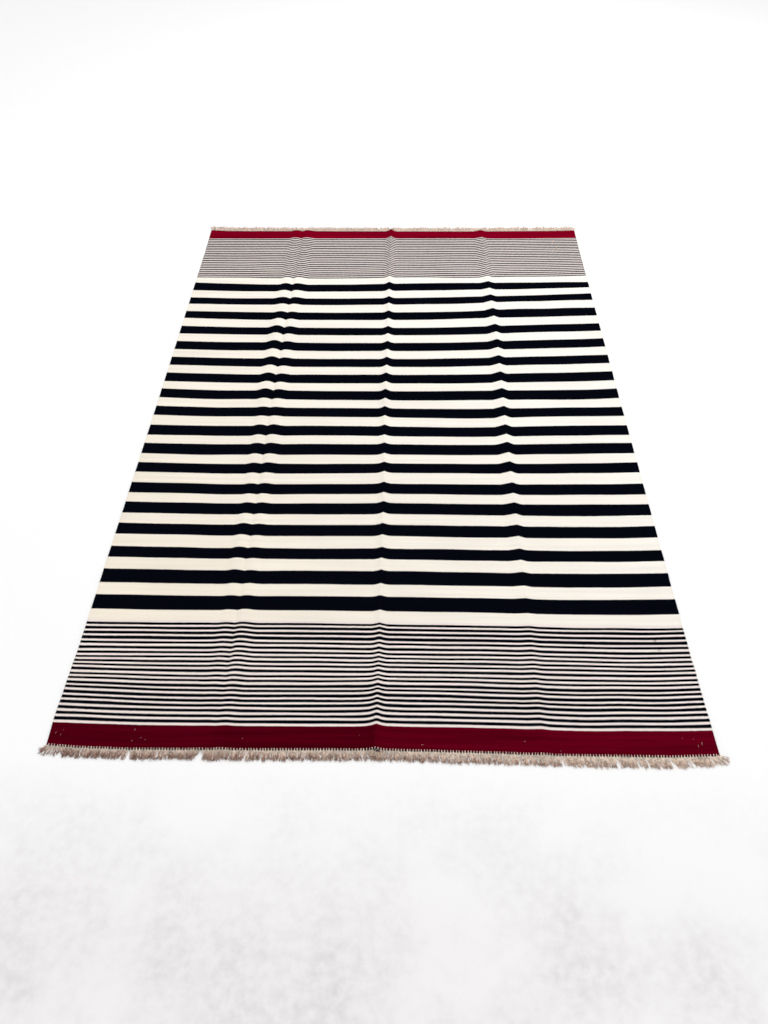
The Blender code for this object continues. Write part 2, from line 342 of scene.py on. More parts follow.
# Slubs that stand in the weave: place in metres, length in mm, and lean in degrees
Slub = namedtuple("Slub", "x y length lean")
PALE_SLUBS = [
    Slub(-0.789, -1.163, 6, 20),
    Slub(-0.776, -1.169, 6, 15),
    Slub(-0.773, -1.156, 3, 0),
    Slub(-0.598, -1.152, 5, 5),
    Slub(-0.599, -1.181, 5, 15),
    Slub(-0.579, -1.173, 3, 70),
    Slub(-0.567, -1.178, 3, 80),
    Slub(-0.332, -1.171, 4, 10),
    Slub(-0.050, -1.159, 3, 0),
    Slub(0.102, -1.181, 7, 80),
    Slub(0.348, -1.169, 6, 75),
    Slub(0.431, -1.192, 3, 10),
    Slub(0.727, -1.155, 5, 0),
    Slub(0.752, -1.157, 3, -10),
    Slub(0.760, -1.174, 7, 4),
    Slub(0.770, -1.168, 8, 12),
    Slub(0.698, 1.118, 42, 25),
    Slub(0.712, 1.062, 34, -30),
]
DARK_SLUBS = [
    Slub(0.718, -0.885, 8, 5),
    Slub(0.723, -0.913, 5, 80),
    Slub(0.724, -0.972, 5, 10),
    Slub(0.530, -0.899, 6, 70),
]


def read_off(rows, column, place):
    """The named column of a table, between its rows, at this place of its first column."""
    if place <= rows[0][0]:
        return getattr(rows[0], column)
    for low, high in zip(rows, rows[1:]):
        if place <= high[0]:
            share = (place - low[0]) / (high[0] - low[0])
            return getattr(low, column) * (1 - share) + getattr(high, column) * share
    return getattr(rows[-1], column)


def flank(distance, foot, power):
    """A ridge's side: 1 on the line, falling to 0 at the foot, steeper the higher the power."""
    return max(0.0, 1 - distance / foot) ** power


def roll(share):
    """A soft rise from 0 to 1."""
    share = min(max(share, 0.0), 1.0)
    return 0.5 - 0.5 * math.cos(math.pi * share)


def middle_lift(x, y):
    across = x - read_off(MIDDLE_RIDGE, "line", y) * MM
    swell_foot = SWELL_FOOT_LEFT if across < 0 else SWELL_FOOT_RIGHT
    sharp = read_off(MIDDLE_RIDGE, "peak", y) * flank(abs(across), MIDDLE_FOOT, MIDDLE_POWER)
    broad = read_off(MIDDLE_RIDGE, "swell", y) * roll(1 - abs(across) / swell_foot)
    return (sharp + broad) * MM


def right_lift(x, y):
    across = x - read_off(RIGHT_RIDGE, "line", y) * MM
    peak = read_off(RIGHT_RIDGE, "peak", y) * MM
    if across < 0:
        return peak * flank(-across, LEFT_FLANK, LEFT_FLANK_POWER)
    return peak * flank(across, RIGHT_FLANK, RIGHT_FLANK_POWER)


def left_lift(x, y):
    """From the crease line the cloth springs up to a shoulder, then rolls down to the floor."""
    across = x - read_off(LEFT_VALLEY, "line", y) * MM
    side, shoulder_at = ("left", LEFT_SHOULDER_AT) if across < 0 else ("right", RIGHT_SHOULDER_AT)
    peak = read_off(LEFT_VALLEY, side + "_peak", y) * MM
    foot = read_off(LEFT_VALLEY, side + "_foot", y) * MM
    distance = abs(across)
    if distance < shoulder_at:
        return peak * math.sin(0.5 * math.pi * distance / shoulder_at)
    return peak * roll((foot - distance) / (foot - shoulder_at))


def lift(x, y):
    """How high the cloth's underside is off the floor."""
    return left_lift(x, y) + middle_lift(x, y) + right_lift(x, y)


def top_of(x, y, thickness):
    """The upper face over a point: a sloping sheet is taller than it is thick."""
    step = 3 * MM
    slope = (lift(x + step, y) - lift(x - step, y)) / (2 * step)
    return lift(x, y) + thickness * math.hypot(1, slope)


def end_line(x, end):
    """The y of the cloth's end edge, for end "near" or "far"."""
    outwards = CLOTH_LENGTH / 2 + read_off(ENDS, end, x) * MM
    return -outwards if end == "near" else outwards


def side_line(y, side):
    outwards = CLOTH_WIDTH / 2 + read_off(SIDES, side, y) * MM
    return -outwards if side == "left" else outwards


def spread(start, end, count):
    """Evenly spaced values after start and before end."""
    return [start + (end - start) * i / count for i in range(1, count)]


def column_places(y):
    """The x of each grid column at this y: close over a crease, wide on the flat panels."""
    creases = [
        (read_off(LEFT_VALLEY, "line", y), VALLEY_COLUMNS),
        (read_off(MIDDLE_RIDGE, "line", y), MIDDLE_COLUMNS),
        (read_off(RIGHT_RIDGE, "line", y), RIGHT_COLUMNS),
    ]
    left, right = side_line(y, "left"), side_line(y, "right")
    places = [left] + [left + inset * MM for inset in SELVEDGE_COLUMNS]
    for line, columns in creases:
        over_crease = [(line + column) * MM for column in columns]
        places += spread(places[-1], over_crease[0], PANEL_COLUMNS) + over_crease
    inner = [right - inset * MM for inset in reversed(SELVEDGE_COLUMNS)]
    return places + spread(places[-1], inner[0], PANEL_COLUMNS) + inner + [right]


def curve_through(places, values, place):
    """A smooth curve through the values, read at one place between the first and the last."""
    place = min(max(place, places[0]), places[-1])
    i = min(int(np.searchsorted(places, place, side="right")) - 1, len(places) - 2)

    def slope(k):
        low, high = max(k - 1, 0), min(k + 1, len(places) - 1)
        return (values[high] - values[low]) / (places[high] - places[low])

    width = places[i + 1] - places[i]
    t = (place - places[i]) / width
    rise = t * t * (3 - 2 * t)
    return (values[i] * (1 - rise) + values[i + 1] * rise
            + width * (slope(i) * t * (1 - t) ** 2 - slope(i + 1) * t * t * (1 - t)))


BOW_BY_ROW = [row[0] for row in WEFT_BOWS]


def weft_bow(warp_place, x):
    """How far a weft lies from its straight line, in metres towards the far end."""
    i = min(max(int(np.searchsorted(BOW_BY_ROW, warp_place)), 1), len(WEFT_BOWS) - 1)
    low, high = [(row.y, curve_through(BOW_PLACES, row[1:], x)) for row in WEFT_BOWS[i - 1:i + 1]]
    share = min(max((warp_place - low[0]) / (high[0] - low[0]), 0.0), 1.0)
    return (low[1] * (1 - share) + high[1] * share) * MM


def chart():
    """The heights of the stripes in mm, from far to near: even ones are black and odd ones
    ivory, but for the first and last, which are red."""
    heights = [FAR_RED, FAR_IVORY_LINE]
    draw = random.Random(5)
    for _ in range(FAR_PINSTRIPES):
        wider = draw.uniform(-FAR_PIN_WANDER, FAR_PIN_WANDER)
        heights += [FAR_PIN_BLACK + wider, FAR_PIN_IVORY - wider]
    heights[-1] = FAR_GAP
    for stripe in WIDE_STRIPES + NEAR_PINSTRIPES:
        heights += [stripe.black, stripe.ivory]
    woven = sum(heights) * MM
    return heights + [(FAR_WARP_END + CLOTH_LENGTH / 2 - woven) / MM]


STRIPE_HEIGHTS = chart()
LAST_STRIPE = len(STRIPE_HEIGHTS) - 1
ROW_SPACING = 24.0

Row = namedtuple("Row", "warp_place stripe")


def weft_rows():
    """A row of the grid on every line where the weft changes colour, and some within the wider
    stripes. Row.stripe is a whole number on such a line."""
    rows = []
    place = FAR_WARP_END
    for number, height in enumerate(STRIPE_HEIGHTS):
        steps = max(1, round(height / ROW_SPACING))
        for step in range(steps):
            rows.append(Row(place - height * MM * step / steps, number + step / steps))
        place -= height * MM
    return rows + [Row(-CLOTH_LENGTH / 2, LAST_STRIPE + 1.0)]


def weft_y(row, x):
    """Where a row lies at this x: on its bowed line, or between that and the cloth's end."""
    first_line = FAR_WARP_END - FAR_RED * MM
    last_line = STRIPE_HEIGHTS[-1] * MM - CLOTH_LENGTH / 2
    if row.stripe <= 1:
        inner = first_line + weft_bow(first_line, x)
        return inner * row.stripe + end_line(x, "far") * (1 - row.stripe)
    if row.stripe >= LAST_STRIPE:
        share = row.stripe - LAST_STRIPE
        return (last_line + weft_bow(last_line, x)) * (1 - share) + end_line(x, "near") * share
    wave = noise.noise(Vector((x * WEFT_WAVES_ACROSS, row.warp_place * WEFT_WAVES_ALONG, 2.0)))
    return row.warp_place + weft_bow(row.warp_place, x) + wave * WEFT_WANDER


# Nodes and materials

def add_node(tree, kind, inputs, output=0, **settings):
    """Adds a shader node with its settings and its inputs' values or links, and returns one of
    its outputs, if it has any."""
    made = tree.nodes.new("ShaderNode" + kind)
    for name, value in settings.items():
        setattr(made, name, value)
    for name, value in inputs.items():
        if isinstance(value, bpy.types.NodeSocket):
            tree.links.new(value, made.inputs[name])
        else:
            made.inputs[name].default_value = value
    return made.outputs[output] if made.outputs else None


def new_material(name):
    """An empty material, and the function that adds a node to it."""
    made = bpy.data.materials.new(name)
    made.use_nodes = True
    made.node_tree.nodes.clear()
    return made, partial(add_node, made.node_tree)


def opaque(colour):
    return (*colour, 1.0)


BLEND = {"output": 2, "data_type": "RGBA"}

# How far from the middle of the rug its fine stripes begin
FINE_FROM = 0.830

# The patterns' noise cells per metre, with a cell's size in millimetres
YARN_CELLS = (5.0, 420.0, 1.0)      # 200 along the weft by 2.4, one weft
STREAK_CELLS = (2.2, 90.0, 1.0)     # 450 along the weft by 11
RAGGED_CELLS = 170.0                # 6
CLOUDY_CELLS = 3.5                  # 290
FLECK_CELLS = 900.0                 # 1.1
SHADE_MOTTLE_CELLS = 190.0                  # 5
FIBRE_CELLS = 1400.0                # 0.7
SCREED_CLOUD_CELLS = 3.2            # 310
SCREED_GRAIN_CELLS = 45.0           # 22


def woven_wool():
    """Weft-faced wool: hand-spun yarn beaten down so hard that it hides the warp. Its fibres
    scatter all the light, so it has no mirror reflection, and each warp below shows as a fine
    rib, with the wefts over it as small staggered beads."""
    sizes = bpy.context.scene.kilim_cloth
    made, add = new_material("weft-faced hand-spun wool, woven")
    flat = add("UVMap", {}, uv_map="flat")
    across = add("SeparateXYZ", {0: flat})
    along = across.node.outputs[1]
    stripe = add("SeparateXYZ", {0: add("UVMap", {}, uv_map="chart")})
    height = stripe.node.outputs[1]

    # In a weft-faced weave a change of colour zigzags, up over one warp and down over the next
    warps = add("Math", {0: across, 1: math.pi / sizes.warp_spacing}, operation="MULTIPLY")
    zigzag = add("Math", {0: warps}, operation="SINE")
    ragged = add("TexNoise", {"Vector": flat, "Scale": RAGGED_CELLS, "Detail": 2.0})
    ragged = add("MapRange", {0: ragged, 3: -1.5, 4: 1.5})
    tooth = add("Math", {0: zigzag, 1: ragged}, operation="ADD")
    tooth = add("Math", {0: tooth, 1: sizes.tooth / MM}, operation="MULTIPLY")

    # Even stripes of the chart are black: the side is positive inside them, negative outside
    side = add("Math", {0: stripe, 1: 0.5}, operation="ADD")
    side = add("Math", {0: side, 1: 1.0}, operation="PINGPONG")
    side = add("Math", {0: side, 1: 0.5}, operation="SUBTRACT")
    inside = add("Math", {0: side, 1: height, 2: tooth}, operation="MULTIPLY_ADD")
    black_share = add("MapRange", {0: inside, 1: -0.25, 2: 0.25}, interpolation_type="SMOOTHSTEP")
    far_red = add("Math", {0: tooth, 1: -1 / FAR_RED, 2: stripe}, operation="MULTIPLY_ADD")
    far_red = add("Math", {0: far_red, 1: 1.0}, operation="LESS_THAN")
    near_red = add("Math", {0: tooth, 1: 1 / STRIPE_HEIGHTS[-1], 2: stripe},
                   operation="MULTIPLY_ADD")
    near_red = add("Math", {0: near_red, 1: float(LAST_STRIPE)}, operation="GREATER_THAN")
    red_share = add("Math", {0: far_red, 1: near_red}, operation="MAXIMUM")

    # Each weft is its own length of yarn, a little lighter or darker than the next
    stretched = add("Mapping", {0: flat, 3: YARN_CELLS})
    yarn = add("TexNoise", {"Vector": stretched, "Scale": 1.0, "Detail": 3.0})
    long_streaks = add("Mapping", {0: flat, 3: STREAK_CELLS})
    abrash = add("TexNoise", {"Vector": long_streaks, "Scale": 1.0, "Detail": 2.0})
    cloudy = add("TexNoise", {"Vector": flat, "Scale": CLOUDY_CELLS, "Detail": 2.0})

    # The undyed wool is cream at the near left and paler towards the far right: the paling is
    # painted light, where the light falls stronger
    painted_light = add("Math", {0: across, 1: 0.42, 2: 0.72}, operation="MULTIPLY_ADD")
    painted_light = add("Math", {0: along, 1: 0.28, 2: painted_light}, operation="MULTIPLY_ADD", use_clamp=True)
    pale = add("Mix", {0: yarn, 6: opaque(sizes.ivory), 7: opaque(sizes.ivory_dark)}, **BLEND)
    cream = add("Mix", {0: yarn, 6: opaque(sizes.cream), 7: opaque(sizes.cream_dark)}, **BLEND)
    ivory = add("Mix", {0: painted_light, 6: cream, 7: pale}, **BLEND)
    from_middle = add("Math", {0: along}, operation="ABSOLUTE")
    fine_band = add("MapRange", {0: from_middle, 1: FINE_FROM, 2: FINE_FROM + 8 * MM, 4: 0.7})
    ivory = add("Mix", {0: fine_band, 6: ivory, 7: opaque(sizes.ivory_rosy)}, **BLEND)
    uneven = add("MapRange", {0: abrash, 1: 0.3, 2: 0.7, 3: 0.95, 4: 1.035})
    ivory = add("VectorMath", {0: ivory, 3: uneven}, operation="SCALE")
    black = add("Mix", {0: yarn, 6: opaque(sizes.black), 7: opaque(sizes.black_light)}, **BLEND)

    # The red is painted lighter towards the far end and changes at the creases, darker left of the
    # middle crease: painted light and shade. It also streaks from weft to weft, as the yarn's own
    # tone
    far_light_share = add("MapRange", {0: along, 1: -1.0, 2: 1.0})
    red = add("Mix", {0: far_light_share, 6: opaque(sizes.red_near), 7: opaque(sizes.red_far_lit)}, **BLEND)
    # Painted light and shade by panel: darker left of the middle crease, lighter right of the
    # right crease
    left_half = add("MapRange", {0: across, 1: -0.43, 2: -0.37, 3: 0.73, 4: 0.61})
    right_half = add("MapRange", {0: across, 1: 0.30, 2: 0.45, 3: 0.88, 4: 1.03})
    second_half = add("MapRange", {0: across, 1: -0.018, 2: -0.004})
    panel_shade = add("Mix", {0: second_half, 2: left_half, 3: right_half})
    panel_shade = add("Math", {0: panel_shade, 1: far_light_share}, operation="MAXIMUM")
    streak = add("MapRange", {0: abrash, 1: 0.3, 2: 0.7, 3: 0.76, 4: 1.24})
    fine = add("MapRange", {0: yarn, 1: 0.25, 2: 0.75, 3: 0.82, 4: 1.20})
    # depth: the yarn's own streaks times the painted panel shade
    depth = add("Math", {0: streak, 1: fine}, operation="MULTIPLY")
    depth = add("Math", {0: depth, 1: panel_shade}, operation="MULTIPLY")
    red = add("VectorMath", {0: red, 3: depth}, operation="SCALE")
    colour = add("Mix", {0: black_share, 6: ivory, 7: black}, **BLEND)
    colour = add("Mix", {0: red_share, 6: colour, 7: red}, **BLEND)

    # The ribs and beads: a pick of weft lies over every other warp, and the next one between
    rib = add("Math", {0: warps}, operation="COSINE")
    picks = add("Math", {0: along, 1: 2 * math.pi / sizes.weft_spacing}, operation="MULTIPLY")
    pick = add("Math", {0: picks}, operation="COSINE")
    ribs = add("Math", {0: rib}, operation="ABSOLUTE")
    beads = add("Math", {0: rib, 1: pick}, operation="MULTIPLY")
    relief = add("Math", {0: beads, 1: 0.5, 2: ribs}, operation="MULTIPLY_ADD")
    relief = add("Math", {0: yarn, 1: 0.8, 2: relief}, operation="MULTIPLY_ADD")

    # The grooves between the ribs hold shade and dust
    groove = add("MapRange", {0: ribs, 1: 0.0, 2: 0.7, 3: 0.90, 4: 1.0})
    mottle = add("MapRange", {0: cloudy, 1: 0.3, 2: 0.7, 3: 0.965, 4: 1.025})
    shade = add("Math", {0: groove, 1: mottle}, operation="MULTIPLY")
    colour = add("VectorMath", {0: colour, 3: shade}, operation="SCALE")
    bump = add("Bump", {"Strength": 0.5, "Distance": sizes.weave_relief, "Height": relief})
    shader = add("BsdfPrincipled", {"Base Color": colour, "Roughness": 0.95,
                                    "Specular IOR Level": 0.0, "Normal": bump})
    add("OutputMaterial", {"Surface": shader})
    return made


def warp_yarn():
    """Undyed warp: grey-beige wool and goat hair spun hard into two plies. It is matt, with a fine
    twist along each strand: pale and closed at its root, darker and hairier where its cut end
    opens. That darker end is partly painted shade."""
    sizes = bpy.context.scene.kilim_fringe
    made, add = new_material("undyed wool and goat hair, two-ply spun")
    around = add("SeparateXYZ", {0: add("UVMap", {}, uv_map="strand")})
    length = around.node.outputs[1]
    tint = add("Attribute", {}, output=2, attribute_name="tint")
    cut_end = add("Attribute", {}, output=2, attribute_name="cut_end")
    turns = add("Math", {0: length, 1: 1 / sizes.ply_pitch}, operation="MULTIPLY")
    turns = add("Math", {0: around, 1: 2.0, 2: turns}, operation="MULTIPLY_ADD")
    twist = add("Math", {0: turns, 1: 2 * math.pi}, operation="MULTIPLY")
    twist = add("Math", {0: twist}, operation="SINE")
    place = add("TexCoord", {}, output=3)
    fleck = add("TexNoise", {"Vector": place, "Scale": FLECK_CELLS, "Detail": 2.0})
    colour = add("Mix", {0: tint, 6: opaque(sizes.yarn_pale), 7: opaque(sizes.yarn_grey)}, **BLEND)
    root_share = add("MapRange", {0: cut_end, 1: -1.0, 2: 0.05, 3: 1.0, 4: 0.0})
    colour = add("Mix", {0: root_share, 6: colour, 7: opaque(sizes.yarn_root)}, **BLEND)
    # Painted shade, partly: the yarn darkens towards its opened, hairy cut end
    end_share = add("MapRange", {0: cut_end, 1: 0.0, 2: 1.0, 4: 0.8})
    colour = add("Mix", {0: end_share, 6: colour, 7: opaque(sizes.shaded_yarn_end)}, **BLEND)
    plies = add("MapRange", {0: twist, 1: -1.0, 2: 0.2, 3: 0.78, 4: 1.05})
    # Painted light and shade: patches a few millimetres across, lighter and darker, in place of
    # the shade the yarns cast on each other
    shade_mottle = add("TexNoise", {"Vector": place, "Scale": SHADE_MOTTLE_CELLS, "Detail": 2.0})
    shade_mottle = add("MapRange", {0: shade_mottle, 1: 0.32, 2: 0.68, 3: 0.60, 4: 1.36})
    flecked = add("MapRange", {0: fleck, 1: 0.3, 2: 0.7, 3: 0.8, 4: 1.18})
    grain = add("Math", {0: plies, 1: flecked}, operation="MULTIPLY")
    grain = add("Math", {0: grain, 1: shade_mottle}, operation="MULTIPLY")
    colour = add("VectorMath", {0: colour, 3: grain}, operation="SCALE")
    relief = add("Math", {0: twist, 1: fleck}, operation="ADD")
    bump = add("Bump", {"Strength": 0.6, "Distance": 0.3 * MM, "Height": relief})
    shader = add("BsdfPrincipled", {"Base Color": colour, "Roughness": 0.92,
                                    "Specular IOR Level": 0.1, "Normal": bump})
    add("OutputMaterial", {"Surface": shader})
    return made


def twining_wool():
    """The last row is a twined pair of dark blue-black wool yarns, which locks the wefts: matt,
    with paler fibres caught across it."""
    sizes = bpy.context.scene.kilim_fringe
    made, add = new_material("navy wool, twined")
    place = add("TexCoord", {}, output=3)
    slant = add("Mapping", {0: place, 2: (0.0, 0.0, 0.6), 3: (1.0, 0.4, 1.0)})
    fibres = add("TexNoise", {"Vector": slant, "Scale": FIBRE_CELLS, "Detail": 2.0})
    colour = add("Mix", {0: fibres, 6: opaque(sizes.twining), 7: opaque(sizes.twining_light)},
                 **BLEND)
    bump = add("Bump", {"Strength": 0.5, "Distance": 0.3 * MM, "Height": fibres})
    shader = add("BsdfPrincipled", {"Base Color": colour, "Roughness": 0.95,
                                    "Specular IOR Level": 0.03, "Normal": bump})
    add("OutputMaterial", {"Surface": shader})
    return made


def screed():
    """A floor of pale cement screed, smoothed by trowel: matt. Before the rug's near end it is
    darker, as painted shadow, and faintly mottled there."""
    stage = bpy.context.scene.kilim_stage
    made, add = new_material("pale cement screed, trowelled")
    place = add("TexCoord", {}, output=3)
    cloud = add("TexNoise", {"Vector": place, "Scale": SCREED_CLOUD_CELLS, "Detail": 7.0,
                             "Roughness": 0.62})
    dark_mottle = add("MapRange", {0: cloud, 1: 0.40, 2: 0.66})
    grain = add("TexNoise", {"Vector": place, "Scale": SCREED_GRAIN_CELLS, "Detail": 5.0})
    grain = add("MapRange", {0: grain, 1: 0.35, 2: 0.65, 3: 0.35})
    dark_mottle = add("Math", {0: dark_mottle, 1: grain}, operation="MULTIPLY")
    sideways = add("SeparateXYZ", {0: place})
    # Painted shadow: the floor darkens before the rug's near end, more to the left, and fades out
    # further towards the viewer
    front = add("MapRange", {0: sideways.node.outputs[1], 1: -1.22, 2: -1.60})
    left = add("MapRange", {0: sideways, 1: 0.9, 2: 0.1, 3: 0.55})
    shadow_fade = add("MapRange", {0: sideways.node.outputs[1], 1: -2.2, 2: -3.4, 3: 1.0, 4: 0.0})
    front = add("Math", {0: front, 1: left}, operation="MULTIPLY")
    front = add("Math", {0: front, 1: shadow_fade}, operation="MULTIPLY")
    colour = add("Mix", {0: front, 6: opaque(stage.floor_colour), 7: opaque(stage.floor_shadowed)},
                 **BLEND)
    dark_mottle = add("Math", {0: dark_mottle, 1: front}, operation="MULTIPLY")
    colour = add("Mix", {0: dark_mottle, 6: colour, 7: opaque(stage.floor_mottled)}, **BLEND)
    shader = add("BsdfPrincipled", {"Base Color": colour, "Roughness": 0.9,
                                    "Specular IOR Level": 0.1})
    add("OutputMaterial", {"Surface": shader})
    return made


def add_piece(name, mesh, finish):
    """Makes the mesh an object of the scene, with its one material."""
    data = bpy.data.meshes.new(name)
    mesh.to_mesh(data)
    mesh.free()
    data.materials.append(finish)
    piece = bpy.data.objects.new(name, data)
    bpy.context.scene.collection.objects.link(piece)
    return piece


def thicken(mesh, thickness_at):
    """Turns a flat grid of faces into a closed sheet that stands on it."""
    made = bmesh.ops.extrude_face_region(mesh, geom=mesh.faces[:])["geom"]
    for vertex in made:
        if isinstance(vertex, bmesh.types.BMVert):
            vertex.co.z = thickness_at(vertex.co.x, vertex.co.y)
    bmesh.ops.recalc_face_normals(mesh, faces=mesh.faces[:])


def selvedge_swell(x, y):
    """Two cords of doubled warp run along each side, and the wefts turn round them."""
    inset = min(x - side_line(y, "left"), side_line(y, "right") - x)
    if inset > 2 * SELVEDGE_CORD:
        return 0.0
    return SELVEDGE_SWELL * abs(math.sin(math.pi * max(inset, 0.0) / SELVEDGE_CORD))


def dye(name, description, hex_colour):
    """A colour that the panel can change."""
    return FloatVectorProperty(name=name, description=description, subtype="COLOR",
                               default=linear(hex_colour))


def measure(name, description, default, smallest):
    """A size that the panel can change, given in millimetres."""
    return FloatProperty(name=name, description=description, default=default * MM,
                         min=smallest * MM, unit="LENGTH")


class KilimCloth(bpy.types.PropertyGroup):
    """The woven cloth: its threads and its dyes."""

    warp_spacing: measure("Warp spacing", "From one warp rib to the next", 2.7, 0.5)
    weft_spacing: measure("Weft spacing", "From one weft bead to the next on a rib", 2.2, 0.5)
    weave_relief: measure("Weave relief", "How deep the grooves between the ribs are", 0.5, 0.0)
    tooth: measure("Stripe tooth", "How far a stripe's edge zigzags from warp to warp", 0.75, 0.0)
    # The far right's paler ivory, against the cream, is painted light
    ivory: dye("Ivory", "Undyed wool at the far right, which has faded palest", "#f5f1ec")
    ivory_dark: dye("Darker ivory", "The darker lengths of the pale ivory", "#efeadf")
    cream: dye("Cream", "Undyed wool at the near left", "#f1e8d8")
    cream_dark: dye("Darker cream", "The darker lengths of the cream", "#e9dbc6")
    ivory_rosy: dye("Rosy ivory", "Undyed wool between the fine stripes", "#eadcd9")
    black: dye("Black", "The dyed black wool", "#03040a")
    black_light: dye("Lighter black", "The paler lengths of the black wool", "#080a13")
    # The far red, lighter than the near red, is painted light
    red_near: dye("Near red", "The madder red at the near end", "#5b0116")
    red_far_lit: dye("Far red", "The madder red at the far end", "#74011a")


class KilimFringe(bpy.types.PropertyGroup):
    """The warp ends: bundles of yarn that leave the cloth under a twined edge."""

    locks: IntProperty(
        name="Bundles", description="Bundles of warp at each end", default=232, min=10)
    yarns: IntProperty(
        name="Yarns", description="Yarns in a bundle", default=6, min=1, max=12)
    yarn_radius: measure("Yarn radius", "Half a warp yarn's thickness", 0.8, 0.2)
    ply_pitch: measure("Ply pitch", "One turn of the two plies along the yarn", 3.4, 1.0)
    root_overlap: measure("Root overlap", "How far a bundle's root lies on the cloth", 2.6, 0.0)
    yarn_root: dye("Root", "A yarn where it leaves the cloth, still clean and closed", "#fdebd8")
    yarn_pale: dye("Pale yarn", "The palest warp", "#edd2bf")
    yarn_grey: dye("Grey yarn", "The darkest warp", "#967060")
    # The cut end's darker colour is partly painted shade
    shaded_yarn_end: dye("Cut end", "The opened, hairy end of a yarn", "#825e51")
    twining: dye("Twined edge", "The dark yarns that lock the last weft", "#0e0f1c")
    twining_light: dye("Twined edge, pale fibres", "Its paler fibres", "#2b2a3a")


class KilimStage(bpy.types.PropertyGroup):
    """The floor and the light."""

    floor_colour: dye("Floor", "The pale screed", "#f3f3f3")
    # The darker floor before the rug is painted shadow
    floor_shadowed: dye("Floor in front", "The screed before the rug", "#ebe9ea")
    floor_mottled: dye("Worn floor", "The screed's darker mottling", "#d3d0d0")
    daylight: FloatProperty(
        name="Daylight", description="The even light from all round", default=1.0, min=0.0)
    window: FloatProperty(
        name="Window light", description="The soft light from the far right, in watts",
        default=42.0, min=0.0)


def cloth_mesh():
    """The cloth: a grid whose rows follow the wefts and whose columns follow the creases."""
    rows = weft_rows()
    columns = len(column_places(0.0)) - 1
    mesh = bmesh.new()
    bmesh.ops.create_grid(mesh, x_segments=columns, y_segments=len(rows) - 1, size=0.5)
    place_of = {}
    for vertex in mesh.verts:
        column = round((vertex.co.x + 0.5) * columns)
        row = rows[round((0.5 - vertex.co.y) * (len(rows) - 1))]
        x = column_places(row.warp_place)[column]
        half = abs(side_line(row.warp_place, "left" if x < 0 else "right"))
        near_side = max(0.0, 1 - (half - abs(x)) / SELVEDGE_REACH)
        wander = noise.noise(Vector((math.copysign(9.0, x), row.warp_place * SELVEDGE_WAVES, 4.0)))
        x += wander * SELVEDGE_WANDER * near_side
        y = weft_y(row, x)
        vertex.co = (x, y, lift(x, y))
        place_of[vertex] = (x * CLOTH_WIDTH / 2 / half, row)
    flat = mesh.loops.layers.uv.new("flat")
    charted = mesh.loops.layers.uv.new("chart")
    for face in mesh.faces:
        places = [place_of[loop.vert] for loop in face.loops]
        middle = sum(row.stripe for _, row in places) / len(places)
        height = STRIPE_HEIGHTS[int(middle)]
        for loop, (across, row) in zip(face.loops, places):
            loop[flat].uv = (across, row.warp_place)
            loop[charted].uv = (row.stripe, height)
    thicken(mesh, lambda x, y: top_of(x, y, CLOTH_THICKNESS) + selvedge_swell(x, y))
    rim = [edge for edge in mesh.edges if edge.calc_face_angle(0.0) > RIM_ANGLE
           and abs(edge.verts[0].co.z - edge.verts[1].co.z) < CLOTH_THICKNESS / 2]
    bmesh.ops.bevel(mesh, geom=rim, offset=EDGE_ROUNDING, segments=2, profile=0.5,
                    affect="EDGES", material=-1)
    for face in mesh.faces:
        face.smooth = True
    return mesh


class KILIM_OT_cloth(bpy.types.Operator):
    """Weaves the cloth, with its creases, selvedges and stripes"""

    bl_idname = "kilim.cloth"
    bl_label = "Weave the cloth"

    def execute(self, context):
        cloth = add_piece("woven_cloth", cloth_mesh(), woven_wool())
        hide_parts("rug_cloth")
        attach(cloth, "root")
        return {"FINISHED"}


def strand_shape(sides, steps):
    """A strand to repeat: a straight closed tube of radius 1 that runs from z = 0 to z = 1."""
    mesh = bmesh.new()
    bmesh.ops.create_cone(mesh, cap_ends=True, segments=sides, radius1=1.0, radius2=1.0,
                          depth=1.0)
    bmesh.ops.translate(mesh, verts=mesh.verts[:], vec=(0.0, 0.0, 0.5))
    long_edges = [edge for edge in mesh.edges
                  if abs(edge.verts[0].co.z - edge.verts[1].co.z) > 0.5]
    bmesh.ops.subdivide_edges(mesh, edges=long_edges, cuts=steps - 1)
    strand = mesh.loops.layers.uv.new("strand")
    for face in mesh.faces:
        middle = face.calc_center_median()
        facing = math.atan2(middle.y, middle.x)
        for loop in face.loops:
            angle = math.atan2(loop.vert.co.y, loop.vert.co.x)
            beside = (angle - facing + math.pi) % (2 * math.pi) - math.pi
            loop[strand].uv = ((facing + beside) / (2 * math.pi), loop.vert.co.z)
        face.smooth = len(face.verts) == 4
    shape = bpy.data.meshes.new("strand")
    mesh.to_mesh(shape)
    mesh.free()
    return shape


Strand = namedtuple("Strand", "path radius taper tint cut_end length start")
START_TAPER = 10 * MM


